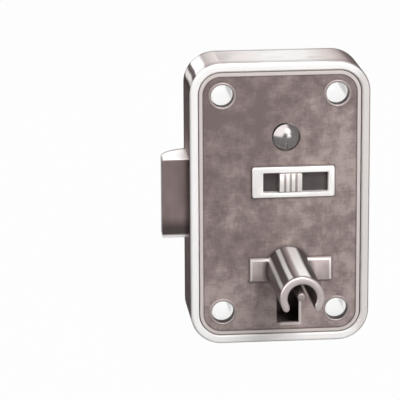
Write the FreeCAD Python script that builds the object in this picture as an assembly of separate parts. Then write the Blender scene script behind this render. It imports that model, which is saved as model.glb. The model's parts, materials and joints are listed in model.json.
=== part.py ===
import FreeCAD, Part
import math
import os

# Surface-mounted door lock with a spring latch, worked by a pipe key from the front.
# Millimetres. X runs to the right seen from the front, Y from the front into the door, Z up.
# The origin is the centre of the four fixing holes, on the flat back face of the case.

V = FreeCAD.Vector
FACE_TO_DOOR = V(0, 1, 0)
ACROSS = V(1, 0, 0)
UP = V(0, 0, 1)

# Case: a die-cast tray with a rounded rim
case_width = 69.0
case_height = 110.0
case_depth = 28.0
case_corner_radius = 12.0
rim_width = 3.2
ledge_width = 1.2
back_thickness = 3.0
rim_round = 1.1
rim_mouth_bevel = 0.5
back_bevel = 1.6

# Fixing holes, lined with flared eyelets
hole_inset = 12.5
hole_radius = 4.3
eyelet_wall = 0.7
eyelet_lip = 0.3
eyelet_lip_height = 0.3
column_wall = 3.4

# Cover plate, let into the rim
cover_recess = 0.4
cover_thickness = 1.8
cover_gap = 0.35
bead_width = 1.4
bead_height = 0.35
bead_bevel = 0.2

# Window frame and the thumb slide behind it
window_x = 5.9
window_z = 8.5
window_width = 25.0
window_height = 7.8
frame_left = 4.2
frame_right = 2.4
frame_top = 2.2
frame_bottom = 1.8
frame_height = 1.5
frame_sleeve = 0.9
frame_bevel = 0.35
frame_corner_radius = 0.8
thumb_width = 8.6
thumb_gap = 0.35
thumb_proud = 0.7
thumb_bevel = 0.45
grip_count = 3
grip_width = 0.9
grip_depth = 0.6
slide_thickness = 1.2
slide_lap = 3.6
rivet_spread = 9.6

# Key tube and the drill pin inside it
key_x = 3.1
key_z = -25.5
tube_radius = 8.3
tube_bore_radius = 5.4
tube_length = 42.0
tube_slot_width = 9.4
tube_slot_round = 1.2
tube_edge_bevel = 0.5
wing_width = 31.7
wing_height = 9.2
wing_thickness = 1.5
wing_x = 4.1
wing_z = -26.0
wing_bevel = 0.35
spigot_radius = 7.4
collar_radius = 10.2
collar_thickness = 1.2
keyhole_width = 8.6
keyhole_reach = 22.0
drill_pin_radius = 1.65
drill_pin_inset = 2.0
drill_pin_foot_radius = 4.5
drill_pin_foot_height = 5.0

# Latch head and tail
latch_z = 1.9
latch_height = 30.7
latch_front = 5.4
latch_back_gap = 0.4
latch_projection = 10.2
latch_inside = 10.4
latch_throw = 9.8
latch_tip_land = 6.0
latch_edge_bevel = 0.4
tail_thickness = 2.5
tail_step = 1.0
tail_top = 17.0
tail_bottom = -12.0
tail_end = 13.0
tail_tongue = 8.0
tail_low_start = -8.0
tail_low_end = 10.4
talon_width = 10.0
talon_depth = 6.0
rivet_radius = 1.4

# Guide post in the slot of the tail
guide_x = 8.0
guide_z = 14.4
guide_radius = 1.8

# Latch spring on its rod
spring_z = 8.3
spring_mean_radius = 2.2
spring_wire = 0.7
spring_turns = 7
spring_seat_depth = 4.0
spring_seat_wall = 0.6
rod_radius = 1.2
rod_reach = 2.5
lug_x = 14.0
lug_width = 3.0
lug_height = 8.0

# Push button that holds the drawn-back latch
button_x = 2.3
button_z = 26.2
button_radius = 5.0
button_hole_radius = 5.5
button_dome_height = 2.3
button_side_height = 1.0
button_flange_radius = 6.4
button_flange_thickness = 0.8
button_pin_radius = 1.8
button_travel = 2.4
button_pin_gap = 0.5
ear_width = 9.6
ear_margin = 4.0
leaf_thickness = 0.4
leaf_width = 6.0
leaf_reach = 15.0

# Lever pack: sliding levers, each with its own lift
lever_gap = 0.3
lever_spring_space = 0.7
lever_lifts = [4.2, 5.0, 3.8, 4.6]
lever_left = -9.0
lever_right = 17.4
lever_shoulder = 7.6
lever_bottom = -8.6
belly_radius = 13.5
belly_step = 0.4
stump_x = -5.0
stump_width = 3.0
stump_height = 2.4
gate_clearance = 0.35
lever_post_x = 13.2
lever_post_z = -3.4
lever_post_wall = 2.2
spring_bar_x = -8.0
spring_bar_z = 20.0
spring_bar_radius = 1.8
lever_spring_thickness = 0.5
lever_spring_root_x = 2.4
lever_spring_root_sink = 2.0

# Clearances
running_gap = 0.05
sliding_gap = 0.25
seat_gap = 0.2
post_collar = 1.6
clip_thickness = 0.7
rail_thickness = 2.4

# Planes from the front to the back
front_y = -case_depth
cover_front_y = front_y + cover_recess
field_y = cover_front_y + bead_height
cover_back_y = cover_front_y + cover_thickness
cavity_back_y = -back_thickness
slide_front_y = cover_back_y + seat_gap
slide_back_y = slide_front_y + slide_thickness
latch_front_y = front_y + latch_front
latch_back_y = cavity_back_y - latch_back_gap
tail_front_y = latch_front_y + tail_step
tail_back_y = tail_front_y + tail_thickness
lever_front_y = tail_back_y + lever_gap
spring_radius = spring_mean_radius + spring_wire / 2
spring_y = latch_back_y - spring_seat_wall - sliding_gap - spring_radius
lever_back_y = spring_y - spring_radius - lever_spring_space
lever_pitch = (lever_back_y - lever_front_y + lever_gap) / len(lever_lifts)
lever_thickness = lever_pitch - lever_gap
tube_tip_y = front_y - tube_length

# Widths and heights that several pieces share
half_width = case_width / 2
half_height = case_height / 2
hole_spacing_x = case_width - 2 * hole_inset
hole_spacing_z = case_height - 2 * hole_inset
wall = rim_width + ledge_width
cavity_half_width = half_width - wall
latch_bottom = latch_z - latch_height / 2
latch_top = latch_z + latch_height / 2
latch_tip_x = -half_width - latch_projection
latch_inner_x = -half_width + wall + latch_inside - ledge_width
window_left = window_x - window_width / 2
window_right = window_x + window_width / 2
window_bottom = window_z - window_height / 2
window_top = window_z + window_height / 2
thumb_left = window_right - thumb_gap - latch_throw - thumb_width
hold_hole_x = button_x - latch_throw
ear_top = button_z + ear_margin
post_front_y = tail_back_y + lever_gap


def block(x0, x1, y0, y1, z0, z1):
    return Part.makeBox(x1 - x0, y1 - y0, z1 - z0, V(x0, y0, z0))


def disc(x, z, radius, y0, y1):
    return Part.makeCylinder(radius, y1 - y0, V(x, y0, z), FACE_TO_DOOR)


def ring(x, z, outer, inner, y0, y1):
    return disc(x, z, outer, y0, y1).cut(disc(x, z, inner, y0 - 1, y1 + 1))


def prism(points, y0, y1):
    corners = [V(x, y0, z) for x, z in points]
    face = Part.Face(Part.makePolygon(corners + corners[:1]))
    return face.extrude(V(0, y1 - y0, 0))


def rounded_prism(width, height, radius, y0, y1):
    body = block(-width / 2, width / 2, y0, y1, -height / 2, height / 2)
    return body.makeFillet(radius, edges_along(body, FACE_TO_DOOR))


def slot(x0, x1, z, radius, y0, y1):
    middle = block(x0, x1, y0, y1, z - radius, z + radius)
    return middle.fuse([disc(x0, z, radius, y0, y1), disc(x1, z, radius, y0, y1)]).removeSplitter()


def edges_along(shape, direction):
    found = []
    for edge in shape.Edges:
        if len(edge.Vertexes) != 2:
            continue
        run = edge.Vertexes[1].Point.sub(edge.Vertexes[0].Point)
        if run.Length > 0 and run.normalize().cross(direction).Length < 1e-6:
            found.append(edge)
    return found


def edges_in_plane(shape, y):
    return [e for e in shape.Edges if abs(e.BoundBox.YMin - y) < 1e-6 and abs(e.BoundBox.YMax - y) < 1e-6]


def hole_centres():
    for side in (-1, 1):
        for level in (-1, 1):
            yield side * hole_spacing_x / 2, level * hole_spacing_z / 2


def inset_prism(inset, y0, y1):
    return rounded_prism(case_width - 2 * inset, case_height - 2 * inset, case_corner_radius - inset, y0, y1)


# The case: outer tray, recess for the cover, cavity, columns and latch rails
def make_case_shell():
    body = inset_prism(0, front_y, 0)
    body = body.makeChamfer(back_bevel, edges_in_plane(body, 0))
    body = body.makeFillet(rim_round, edges_in_plane(body, front_y))
    mouth = inset_prism(rim_width - rim_mouth_bevel, front_y - rim_mouth_bevel, front_y + rim_mouth_bevel)
    mouth = mouth.makeChamfer(rim_mouth_bevel, edges_in_plane(mouth, front_y + rim_mouth_bevel))
    body = body.cut(mouth)
    body = body.cut(inset_prism(rim_width, front_y - 1, cover_back_y))
    body = body.cut(inset_prism(wall, front_y - 1, cavity_back_y))
    column_radius = hole_radius + eyelet_wall + column_wall
    for x, z in hole_centres():
        body = body.fuse(disc(x, z, column_radius, cover_back_y, cavity_back_y))
    rail_left = -cavity_half_width - ledge_width / 2
    for low in (latch_bottom - sliding_gap - rail_thickness, latch_top + sliding_gap):
        rail = block(rail_left, latch_inner_x, latch_front_y, cavity_back_y, low, low + rail_thickness)
        body = body.fuse(rail)
    body = body.cut(latch_passage())
    for x, z in hole_centres():
        body = body.cut(disc(x, z, hole_radius + eyelet_wall, front_y, 1))
    for x, z, radius in back_rivet_ends():
        body = body.cut(disc(x, z, radius, cavity_back_y - 1, 1))
    return body.removeSplitter()


def latch_passage():
    return block(-half_width - 1, -cavity_half_width + 1, latch_front_y - sliding_gap,
                 latch_back_y + sliding_gap, latch_bottom - sliding_gap, latch_top + sliding_gap)


def back_rivet_ends():
    """Each post that is riveted through the back of the case: its place and shank radius."""
    return [(key_x, key_z, drill_pin_foot_radius / 2), (lever_post_x, lever_post_z, guide_radius),
            (guide_x, guide_z, guide_radius), (spring_bar_x, spring_bar_z, spring_bar_radius),
            (lug_x + lug_width / 2, spring_z, rivet_radius)]


# The cover: a plate with a raised bead round its edge
def make_cover_plate():
    edge = rim_width + cover_gap
    plate = inset_prism(edge, cover_front_y, cover_back_y)
    plate = plate.makeChamfer(bead_bevel, edges_in_plane(plate, cover_front_y))
    plate = plate.cut(inset_prism(edge + bead_width, front_y - 1, field_y))
    for x, z in hole_centres():
        plate = plate.cut(disc(x, z, hole_radius + eyelet_wall, front_y, 0))
    plate = plate.cut(disc(button_x, button_z, button_hole_radius, front_y, 0))
    plate = plate.cut(block(window_left - frame_sleeve, window_right + frame_sleeve, front_y, 0,
                            window_bottom - frame_sleeve, window_top + frame_sleeve))
    plate = plate.cut(disc(key_x, key_z, spigot_radius, front_y, 0))
    return plate.cut(key_passage(keyhole_width, front_y, 0, keyhole_reach))


def key_passage(width, y0, y1, reach):
    return block(key_x - width / 2, key_x + width / 2, y0, y1, key_z - reach, key_z)


# One eyelet lines each fixing hole and clamps the cover to the case
def make_corner_eyelets():
    lip_radius = hole_radius + eyelet_wall + eyelet_lip
    lip_y = field_y - eyelet_lip_height
    eyelets = []
    for x, z in hole_centres():
        sleeve = disc(x, z, hole_radius + eyelet_wall, lip_y, 0)
        lip = Part.makeCone(lip_radius - eyelet_lip_height, lip_radius, eyelet_lip_height, V(x, lip_y, z), FACE_TO_DOOR)
        eyelets.append(sleeve.fuse(lip).cut(disc(x, z, hole_radius, lip_y - 1, 1)).removeSplitter())
    return Part.makeCompound(eyelets)


def make_window_frame():
    front = field_y - frame_height
    flange = block(window_left - frame_left, window_right + frame_right, front, field_y,
                   window_bottom - frame_bottom, window_top + frame_top)
    flange = flange.makeFillet(frame_corner_radius, edges_along(flange, FACE_TO_DOOR))
    flange = flange.makeChamfer(frame_bevel, edges_in_plane(flange, front))
    sleeve = block(window_left - frame_sleeve, window_right + frame_sleeve, front + frame_height / 2, cover_back_y,
                   window_bottom - frame_sleeve, window_top + frame_sleeve)
    light = block(window_left, window_right, front - 1, 0, window_bottom, window_top)
    return flange.fuse(sleeve).cut(light).removeSplitter()


# The thumb slide: a blackened plate that always closes the window, and its ribbed thumb piece
def make_slide_plate():
    left = window_left - seat_gap - latch_throw
    right = window_right + seat_gap
    low = window_bottom - slide_lap
    high = window_top + slide_lap
    plate = block(left, right, slide_front_y, slide_back_y, low, high)
    for x, z in slide_rivet_places():
        plate = plate.cut(disc(x, z, rivet_radius, front_y, 0))
    return plate


def slide_rivet_places():
    z = window_bottom - slide_lap / 2
    return [(thumb_left - rivet_spread, z), (thumb_left + thumb_width, z)]


def make_thumb_piece():
    front = field_y - frame_height - thumb_proud
    low = window_bottom + thumb_gap
    high = window_top - thumb_gap
    piece = block(thumb_left, thumb_left + thumb_width, front, slide_front_y, low, high)
    piece = piece.makeChamfer(thumb_bevel, edges_in_plane(piece, front))
    pitch = thumb_width / (grip_count + 1)
    for i in range(grip_count):
        x = thumb_left + pitch * (i + 1)
        groove = block(x - grip_width / 2, x + grip_width / 2, front - 1, front + grip_depth, low - 1, high + 1)
        piece = piece.cut(groove)
    return piece


def make_slide_rivets():
    rivets = []
    for x, z in slide_rivet_places():
        shank = disc(x, z, rivet_radius, slide_front_y, tail_back_y)
        spacer = disc(x, z, rivet_radius + 0.9, slide_back_y, tail_front_y)
        rivets.append(shank.fuse(spacer).removeSplitter())
    return Part.makeCompound(rivets)


# The key tube: a slotted guide with two wings that lie on the cover
def make_key_tube():
    wings = block(wing_x - wing_width / 2, wing_x + wing_width / 2, field_y - wing_thickness, field_y,
                  wing_z - wing_height / 2, wing_z + wing_height / 2)
    wings = wings.makeChamfer(wing_bevel, edges_in_plane(wings, field_y - wing_thickness))
    passage = key_passage(tube_slot_width, tube_tip_y - 1, 0, tube_radius + wing_height)
    barrel = disc(key_x, key_z, tube_radius, tube_tip_y, field_y).cut(passage)
    lips = [e for e in edges_along(barrel, FACE_TO_DOOR) if e.BoundBox.ZMax < key_z - tube_slot_round]
    barrel = barrel.makeFillet(tube_slot_round, lips)
    barrel = barrel.makeChamfer(tube_edge_bevel, edges_in_plane(barrel, tube_tip_y))
    spigot = disc(key_x, key_z, spigot_radius, field_y, cover_back_y + collar_thickness)
    body = wings.fuse([barrel, spigot]).cut(disc(key_x, key_z, tube_bore_radius, tube_tip_y - 1, 0))
    return body.cut(passage).removeSplitter()


def make_tube_collar():
    collar = ring(key_x, key_z, collar_radius, spigot_radius, cover_back_y, cover_back_y + collar_thickness)
    return collar.cut(key_passage(keyhole_width, front_y, 0, collar_radius + 1))


def make_drill_pin():
    tip = disc(key_x, key_z, drill_pin_radius, tube_tip_y + drill_pin_inset, cavity_back_y)
    tip = tip.makeChamfer(drill_pin_radius * 0.3, edges_in_plane(tip, tube_tip_y + drill_pin_inset))
    foot = disc(key_x, key_z, drill_pin_foot_radius, cavity_back_y - drill_pin_foot_height, cavity_back_y)
    shank = disc(key_x, key_z, drill_pin_foot_radius / 2, cavity_back_y, 0)
    return tip.fuse([foot, shank]).removeSplitter()


# The latch head: flat towards the front, rounded away behind so that the door closes by itself
def make_latch_head():
    land_y = latch_front_y + latch_tip_land
    root_x = -half_width + sliding_gap
    nose = arc_from_land(root_x - latch_tip_x, latch_back_y - land_y)
    z = latch_bottom
    front_tip = V(latch_tip_x, latch_front_y, z)
    land_end = V(latch_tip_x, land_y, z)
    root = V(root_x, latch_back_y, z)
    inner_back = V(latch_inner_x, latch_back_y, z)
    inner_front = V(latch_inner_x, latch_front_y, z)
    bevel = Part.Arc(land_end, land_end + nose, root).toShape()
    outline = [Part.makeLine(front_tip, land_end), bevel, Part.makeLine(root, inner_back),
               Part.makeLine(inner_back, inner_front), Part.makeLine(inner_front, front_tip)]
    head = Part.Face(Part.Wire(outline)).extrude(V(0, 0, latch_height))
    head = head.cut(block(latch_inner_x - tail_tongue, latch_inner_x + 1, tail_front_y, tail_back_y,
                          latch_bottom - 1, latch_top + 1))
    seat_x = latch_inner_x - spring_seat_depth
    seat_radius = spring_mean_radius + spring_wire / 2 + sliding_gap
    seat = Part.makeCylinder(seat_radius, spring_seat_depth + 1, V(seat_x, spring_y, spring_z), ACROSS)
    rod_depth = rod_reach + latch_throw + 1
    rod_hole = Part.makeCylinder(rod_radius + sliding_gap, rod_depth + 1,
                                 V(latch_inner_x - rod_depth, spring_y, spring_z), ACROSS)
    head = head.cut(seat).cut(rod_hole)
    head = head.makeChamfer(latch_edge_bevel, edges_in_plane(head, latch_front_y))
    for x, z in tail_rivet_places():
        head = head.cut(disc(x, z, rivet_radius, latch_front_y - 1, tail_back_y + tail_thickness))
    return head


def arc_from_land(reach, depth):
    """The middle of an arc that leaves the tip land without a corner, measured from where it starts."""
    radius = (reach ** 2 + depth ** 2) / (2 * reach)
    half_angle = math.atan2(depth, radius - reach) / 2
    return V(radius * (1 - math.cos(half_angle)), radius * math.sin(half_angle), 0)


def tail_rivet_places():
    x = latch_inner_x - tail_tongue / 2
    return [(x, latch_z + latch_height / 4), (x, latch_z - latch_height / 4)]


def make_tail_rivets():
    return Part.makeCompound([disc(x, z, rivet_radius, latch_front_y, tail_back_y + tail_thickness)
                              for x, z in tail_rivet_places()])


# The tail carries the talon for the key, the slot for the guide post and the ear with the hold hole
def make_latch_tail():
    left = latch_inner_x - tail_tongue
    outline = [(left, latch_bottom + 1), (latch_inner_x, latch_bottom + 1), (latch_inner_x, lever_bottom),
               (tail_low_start, lever_bottom), (tail_low_start, tail_bottom), (tail_low_end, tail_bottom),
               (tail_low_end, window_bottom), (tail_end, window_bottom),
               (tail_end, tail_top), (hold_hole_x + ear_width / 2, tail_top),
               (hold_hole_x + ear_width / 2, ear_top), (hold_hole_x - ear_width / 2, ear_top),
               (hold_hole_x - ear_width / 2, latch_top - 1), (left, latch_top - 1)]
    tail = prism(outline, tail_front_y, tail_back_y)
    tail = tail.cut(slot(guide_x - latch_throw, guide_x, guide_z, guide_radius + seat_gap, front_y, 0))
    talon = block(key_x - talon_width / 2, key_x + talon_width / 2, front_y, 0, tail_bottom - 1,
                  tail_bottom + talon_depth)
    tail = tail.cut(talon)
    tail = tail.cut(disc(hold_hole_x, button_z, button_pin_radius + seat_gap, front_y, 0))
    tail = tail.cut(disc(stump_x, 0, stump_height / 2, front_y, 0))
    for x, z in slide_rivet_places() + tail_rivet_places():
        tail = tail.cut(disc(x, z, rivet_radius, front_y, 0))
    return tail


def make_stump():
    bar = block(stump_x - stump_width / 2, stump_x + stump_width / 2, tail_back_y, lever_back_y - lever_gap / 2,
                -stump_height / 2, stump_height / 2)
    return bar.fuse(disc(stump_x, 0, stump_height / 2, tail_front_y, tail_back_y)).removeSplitter()


def make_guide_post():
    post = disc(guide_x, guide_z, guide_radius, tail_front_y - clip_thickness, 0)
    foot = disc(guide_x, guide_z, guide_radius + post_collar, lever_back_y + lever_gap, cavity_back_y)
    return post.fuse(foot).removeSplitter()


# The latch spring: one coil on a rod, between the lug on the case and the latch head
def make_latch_spring():
    start_x = latch_inner_x - spring_seat_depth + seat_gap
    length = lug_x - seat_gap - start_x
    pitch = (length - spring_wire) / spring_turns
    helix = Part.makeHelix(pitch, pitch * spring_turns, spring_mean_radius)
    half = spring_wire / 2
    corners = [V(spring_mean_radius + u * half, 0, v * half) for u, v in ((-1, -1), (1, -1), (1, 1), (-1, 1))]
    section = Part.makePolygon(corners + corners[:1])
    coil = Part.Wire(helix.Edges).makePipeShell([section], True, True)
    coil.rotate(V(0, 0, 0), FACE_TO_DOOR, 90)
    coil.translate(V(start_x + half, spring_y, spring_z))
    return coil


def make_spring_rod():
    start_x = latch_inner_x - rod_reach
    return Part.makeCylinder(rod_radius, lug_x + lug_width - start_x, V(start_x, spring_y, spring_z), ACROSS)


def make_spring_lug():
    low = spring_z - lug_height / 2
    lug = block(lug_x, lug_x + lug_width, lever_back_y + seat_gap, cavity_back_y, low, low + lug_height)
    lug = lug.fuse(disc(lug_x + lug_width / 2, spring_z, rivet_radius, cavity_back_y, 0))
    rod = Part.makeCylinder(rod_radius, lug_width + 2, V(lug_x - 1, spring_y, spring_z), ACROSS)
    return lug.cut(rod)


# The push button: its pin enters the hold hole of the tail when the latch is drawn back
def make_push_button():
    flange_y = cover_back_y + running_gap
    side_y = field_y - button_side_height
    tip_y = tail_front_y - button_pin_gap
    side = disc(button_x, button_z, button_radius, side_y, flange_y)
    ball_radius = (button_radius ** 2 + button_dome_height ** 2) / (2 * button_dome_height)
    ball = Part.makeSphere(ball_radius, V(button_x, side_y + ball_radius - button_dome_height, button_z))
    cap = ball.common(disc(button_x, button_z, button_radius, side_y - button_dome_height - 1, side_y))
    flange = disc(button_x, button_z, button_flange_radius, flange_y, flange_y + button_flange_thickness)
    pin = disc(button_x, button_z, button_pin_radius, flange_y, tip_y)
    return side.fuse([cap, flange, pin]).removeSplitter()


def make_button_spring():
    front = cover_back_y + running_gap + button_flange_thickness + running_gap
    leaf = block(button_x - button_flange_radius, button_x + leaf_reach + leaf_width / 2, front,
                 front + leaf_thickness, button_z - leaf_width / 2, button_z + leaf_width / 2)
    fork = slot(button_x - button_flange_radius, button_x, button_z, button_pin_radius + seat_gap, front_y, 0)
    leaf = leaf.cut(fork)
    return leaf.cut(disc(button_x + leaf_reach, button_z, rivet_radius, front_y, 0))


def make_button_spring_rivet():
    front = cover_back_y + running_gap + button_flange_thickness + running_gap
    x = button_x + leaf_reach
    spacer = disc(x, button_z, rivet_radius + 0.9, cover_back_y, front)
    return spacer.fuse(disc(x, button_z, rivet_radius, front, front + leaf_thickness)).removeSplitter()


# The levers: each slides up on two posts, and has a pocket for the stump and two gates
def post_slot(x, z, lift, y0, y1):
    """The slot of a post: the lever hangs on the post by the slot's top end."""
    radius = guide_radius + running_gap
    low = block(x - radius, x + radius, y0, y1, z - lift - seat_gap, z)
    return low.fuse([disc(x, z, radius, y0, y1), disc(x, z - lift - seat_gap, radius, y0, y1)])


def lever_blank(y0, y1):
    tower_left = guide_x - guide_radius - lever_post_wall
    tower_right = guide_x + guide_radius + lever_post_wall
    tower_top = guide_z + guide_radius + lever_post_wall
    foot_left = key_x - belly_radius / 2
    outline = [(lever_left, lever_bottom), (foot_left, lever_bottom), (foot_left, tail_bottom - 1),
               (lever_right - lever_post_wall, tail_bottom - 1), (lever_right, lever_bottom),
               (lever_right, lever_post_z + guide_radius + lever_post_wall), (tower_right, lever_shoulder),
               (tower_right, tower_top), (tower_left, tower_top), (tower_left, lever_shoulder),
               (lever_left + lever_post_wall, lever_shoulder), (lever_left, lever_shoulder - lever_post_wall)]
    return prism(outline, y0, y1)


def make_lever(index, lift):
    y0 = lever_front_y + index * lever_pitch
    y1 = y0 + lever_thickness
    lever = lever_blank(y0, y1)
    lever = lever.cut(disc(key_x, key_z, belly_radius + index * belly_step, y0 - 1, y1 + 1))
    half = stump_width / 2 + gate_clearance
    tall = stump_height / 2 + gate_clearance
    gate_end = stump_x + latch_throw + half
    lever = lever.cut(block(stump_x - half, stump_x + half, y0 - 1, y1 + 1, -lift - tall, tall))
    for level in (0, -lift):
        lever = lever.cut(block(stump_x - half, gate_end, y0 - 1, y1 + 1, level - tall, level + tall))
    for x, z in ((guide_x, guide_z), (lever_post_x, lever_post_z)):
        lever = lever.cut(post_slot(x, z, lift, y0 - 1, y1 + 1))
    return lever.cut(make_lever_spring(index))


def make_lever_spring(index):
    """A flat spring let into the lever's shoulder, bearing up against the spring bar."""
    y0 = lever_front_y + index * lever_pitch + lever_gap
    root = V(lever_spring_root_x, y0, lever_shoulder - lever_spring_root_sink)
    end = V(spring_bar_x, y0, spring_bar_z - spring_bar_radius - seat_gap - lever_spring_thickness)
    run = end.sub(root).normalize()
    rise = V(-run.z, 0, run.x) * lever_spring_thickness
    if rise.z < 0:
        rise = rise * -1
    corners = [root, end, end + rise, root + rise]
    face = Part.Face(Part.makePolygon(corners + corners[:1]))
    return face.extrude(V(0, lever_thickness - 2 * lever_gap, 0))


def make_lever_post():
    pin = disc(lever_post_x, lever_post_z, guide_radius, post_front_y, 0)
    collar = disc(lever_post_x, lever_post_z, guide_radius + post_collar, lever_back_y + lever_gap, cavity_back_y)
    return pin.fuse(collar).removeSplitter()


def make_spring_bar():
    return disc(spring_bar_x, spring_bar_z, spring_bar_radius, post_front_y, 0)


def build():
    parts = {
        "case_shell": make_case_shell(),
        "cover_plate": make_cover_plate(),
        "corner_eyelets": make_corner_eyelets(),
        "window_frame": make_window_frame(),
        "slide_plate": make_slide_plate(),
        "thumb_piece": make_thumb_piece(),
        "slide_rivets": make_slide_rivets(),
        "key_tube": make_key_tube(),
        "tube_collar": make_tube_collar(),
        "drill_pin": make_drill_pin(),
        "latch_head": make_latch_head(),
        "latch_tail": make_latch_tail(),
        "tail_rivets": make_tail_rivets(),
        "stump": make_stump(),
        "guide_post": make_guide_post(),
        "latch_spring": make_latch_spring(),
        "spring_rod": make_spring_rod(),
        "spring_lug": make_spring_lug(),
        "push_button": make_push_button(),
        "button_spring": make_button_spring(),
        "button_spring_rivet": make_button_spring_rivet(),
        "lever_post": make_lever_post(),
        "spring_bar": make_spring_bar(),
    }
    for index, lift in enumerate(lever_lifts):
        parts["lever_%d" % (index + 1)] = make_lever(index, lift)
        parts["lever_spring_%d" % (index + 1)] = make_lever_spring(index)
    return parts


def main():
    os.makedirs("parts", exist_ok=True)
    for name, shape in build().items():
        shape.exportStep("parts/%s.step" % name)
        print("%-20s solids %d  volume %9.1f  valid %s" % (name, len(shape.Solids), shape.Volume, shape.isValid()))


main()
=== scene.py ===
# %% [markdown]
# A surface-mounted door lock, dressed for a studio picture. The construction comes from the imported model:
# every node is already at its real size and place. This file gives the finishes, models the small turned
# and bevelled pieces more finely than the construction does, and sets the camera, the lamps and the floor.

# %% Load the frame
import json
import math

import bmesh
import bpy
from mathutils import Matrix, Vector


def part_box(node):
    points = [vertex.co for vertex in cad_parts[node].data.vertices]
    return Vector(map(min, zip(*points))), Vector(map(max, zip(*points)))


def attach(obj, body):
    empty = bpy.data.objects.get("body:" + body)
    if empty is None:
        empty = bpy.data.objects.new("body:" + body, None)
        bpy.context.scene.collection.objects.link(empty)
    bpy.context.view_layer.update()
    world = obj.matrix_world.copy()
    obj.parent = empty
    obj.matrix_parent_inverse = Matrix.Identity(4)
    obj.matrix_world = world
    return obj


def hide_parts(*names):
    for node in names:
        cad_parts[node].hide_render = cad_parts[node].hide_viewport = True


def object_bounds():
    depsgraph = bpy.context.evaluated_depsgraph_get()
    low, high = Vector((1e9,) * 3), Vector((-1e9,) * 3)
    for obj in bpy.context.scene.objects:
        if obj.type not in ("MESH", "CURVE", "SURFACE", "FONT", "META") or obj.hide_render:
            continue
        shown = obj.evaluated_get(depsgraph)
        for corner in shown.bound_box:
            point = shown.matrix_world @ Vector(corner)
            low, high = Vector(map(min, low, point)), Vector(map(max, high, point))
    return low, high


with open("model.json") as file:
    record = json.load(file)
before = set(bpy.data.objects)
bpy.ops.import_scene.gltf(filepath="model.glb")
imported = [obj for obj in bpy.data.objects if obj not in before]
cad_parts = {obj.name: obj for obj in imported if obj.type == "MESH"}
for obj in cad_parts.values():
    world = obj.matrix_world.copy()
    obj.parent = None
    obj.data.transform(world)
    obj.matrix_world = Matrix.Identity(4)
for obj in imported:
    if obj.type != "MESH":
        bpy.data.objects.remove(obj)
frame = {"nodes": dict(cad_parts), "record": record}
cad_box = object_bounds()
bpy.ops.object.select_all(action="DESELECT")
MM = 0.001
print("nodes:", len(frame["nodes"]))

# %% [markdown]
# Each finish is one node material. All of them start the same way: a Principled shader, a Texture
# Coordinate node read as Object coordinates, and noise for the colour, the roughness and the fine bump.
# Object coordinates are in metres on every piece, so one scale gives the same grain on the whole lock.
# Image textures would need files, and Generated coordinates would stretch with each piece, so neither is
# used.


# %% A new finish and its noise
def new_finish(name):
    """An empty node material with a Principled shader on its output."""
    material = bpy.data.materials.new(name)
    material.use_nodes = True
    tree = material.node_tree
    tree.nodes.clear()
    output = tree.nodes.new("ShaderNodeOutputMaterial")
    shader = tree.nodes.new("ShaderNodeBsdfPrincipled")
    tree.links.new(shader.outputs["BSDF"], output.inputs["Surface"])
    return material, tree, shader


def places(tree):
    """The Object coordinates of the surface, in metres."""
    return tree.nodes.new("ShaderNodeTexCoord").outputs["Object"]


def split(tree):
    """The Object coordinates as three values."""
    node = tree.nodes.new("ShaderNodeSeparateXYZ")
    tree.links.new(places(tree), node.inputs["Vector"])
    return node.outputs


def noise(tree, scale, stretch=(1, 1, 1), detail=4.0):
    """Noise on Object coordinates; a small stretch along one axis draws streaks along it."""
    mapping = tree.nodes.new("ShaderNodeMapping")
    mapping.inputs["Scale"].default_value = stretch
    texture = tree.nodes.new("ShaderNodeTexNoise")
    texture.inputs["Scale"].default_value = scale
    texture.inputs["Detail"].default_value = detail
    tree.links.new(places(tree), mapping.inputs["Vector"])
    tree.links.new(mapping.outputs["Vector"], texture.inputs["Vector"])
    return texture.outputs["Fac"]


# %% [markdown]
# Between the noise and the shader's sockets stand nodes that work out a value or a colour. Each kind gets a
# short function, so that a finish reads as a list of steps and not as a web of wires. Tones are written as
# they look on a screen, from 0 to 255, and the shader gets them linear.


# %% Values, tones and bump
def calc(tree, operation, first, second=None):
    """One Math node; each value is a socket or a number."""
    node = tree.nodes.new("ShaderNodeMath")
    node.operation = operation
    for socket, value in zip(node.inputs, (first, second)):
        if isinstance(value, bpy.types.NodeSocket):
            tree.links.new(value, socket)
        elif value is not None:
            socket.default_value = value
    return node.outputs["Value"]


def span(tree, source, start, stop, low=0.0, high=1.0):
    """Maps start..stop of a value onto low..high, held at the ends."""
    node = tree.nodes.new("ShaderNodeMapRange")
    for name, value in (("From Min", start), ("From Max", stop), ("To Min", low), ("To Max", high)):
        node.inputs[name].default_value = value
    tree.links.new(source, node.inputs["Value"])
    return node.outputs["Result"]


def ramp(tree, source, stops):
    """A colour ramp; stops are (position, colour)."""
    node = tree.nodes.new("ShaderNodeValToRGB")
    elements = node.color_ramp.elements
    while len(elements) < len(stops):
        elements.new(0.5)
    for element, (position, colour) in zip(elements, stops):
        element.position = position
        element.color = (*colour, 1)
    tree.links.new(source, node.inputs["Fac"])
    return node.outputs["Color"]


def mix(tree, share, first, second):
    """Mixes two colours by a share; each colour is a socket or a tuple."""
    node = tree.nodes.new("ShaderNodeMix")
    node.data_type = "RGBA"
    tree.links.new(share, node.inputs["Factor"])
    for name, value in (("A", first), ("B", second)):
        socket = next(s for s in node.inputs if s.name == name and s.type == "RGBA")
        if isinstance(value, bpy.types.NodeSocket):
            tree.links.new(value, socket)
        else:
            socket.default_value = (*value, 1)
    return next(s for s in node.outputs if s.type == "RGBA")


def bump(tree, shader, source, depth):
    """A fine bump, its depth in metres."""
    node = tree.nodes.new("ShaderNodeBump")
    node.inputs["Distance"].default_value = depth
    tree.links.new(source, node.inputs["Height"])
    tree.links.new(node.outputs["Normal"], shader.inputs["Normal"])


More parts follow.
